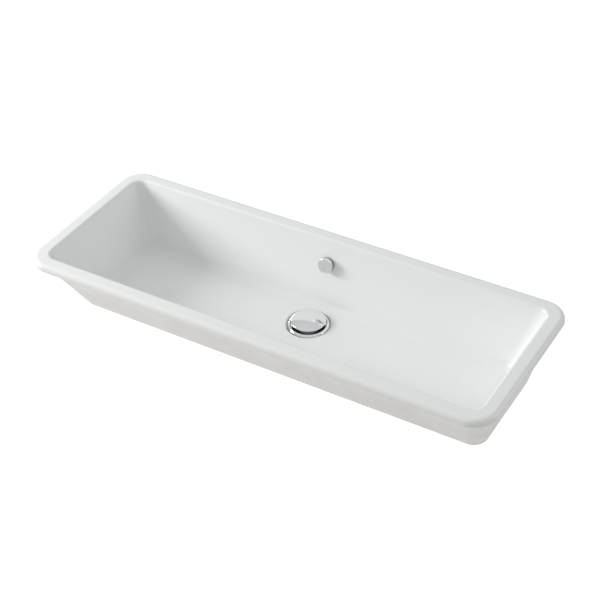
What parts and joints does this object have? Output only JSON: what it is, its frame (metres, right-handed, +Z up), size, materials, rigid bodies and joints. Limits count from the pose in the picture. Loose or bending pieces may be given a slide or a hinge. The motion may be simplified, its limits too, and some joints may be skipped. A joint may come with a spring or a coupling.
{
  "type": "washbasin",
  "caption": "Long narrow inset washbasin in white glazed china, with a flat rim, a tapered shallow bowl, a wall overflow and a domed press-to-open chrome plug in a slotted waste.",
  "frame": {"origin": "centre of the worktop cut-out, in the plane that the rim's underside rests on", "axes": "+X along the basin to the right, +Y to the back towards the overflow wall, +Z up out of the bowl"},
  "size_m": [0.8, 0.3, 0.2005],
  "materials": {
    "glazed_china": "gloss",
    "polished_chrome": "polished",
    "grey_plastic": "matte",
    "black_rubber": "matte",
    "white_foam": "matte",
    "white_plastic": "satin",
    "acetal_plastic": "satin",
    "raw_brass": "satin",
    "spring_steel": "satin"
  },
  "bodies": {
    "basin": {"basin_body": "glazed_china", "overflow_cap": "polished_chrome", "overflow_insert": "grey_plastic", "overflow_seal": "black_rubber", "waste_body": "polished_chrome", "flange_gasket": "white_foam", "under_gasket": "black_rubber", "slip_washer": "white_plastic", "backnut": "raw_brass", "cartridge_housing": "raw_brass", "cartridge_cap": "raw_brass", "wiper_ring": "black_rubber", "cartridge_stud": "raw_brass", "height_locknut": "raw_brass", "return_spring": "spring_steel"},
    "plug": {"plug_cap": "polished_chrome", "plug_seal": "black_rubber", "seal_retainer": "white_plastic", "plunger": "raw_brass"},
    "rotor": {"cam_rotor": "acetal_plastic"}
  },
  "joints": [
    {"name": "plug_press", "type": "slide", "parent": "basin", "child": "plug", "axis": [0, 0, 1], "range_m": [-0.0053, 0], "stiffness_N_per_m": 800, "springref_m": 0.006, "deforming": ["return_spring"]},
    {"name": "rotor_turn", "type": "hinge", "parent": "plug", "child": "rotor", "pos_m": [0, 0.051, -0.127], "axis": [0, 0, 1], "range_deg": [0, 45]}
  ],
  "couplings": [
    {"joint": "rotor_turn", "follows": "plug_press", "rad_per_m": -148}
  ]
}
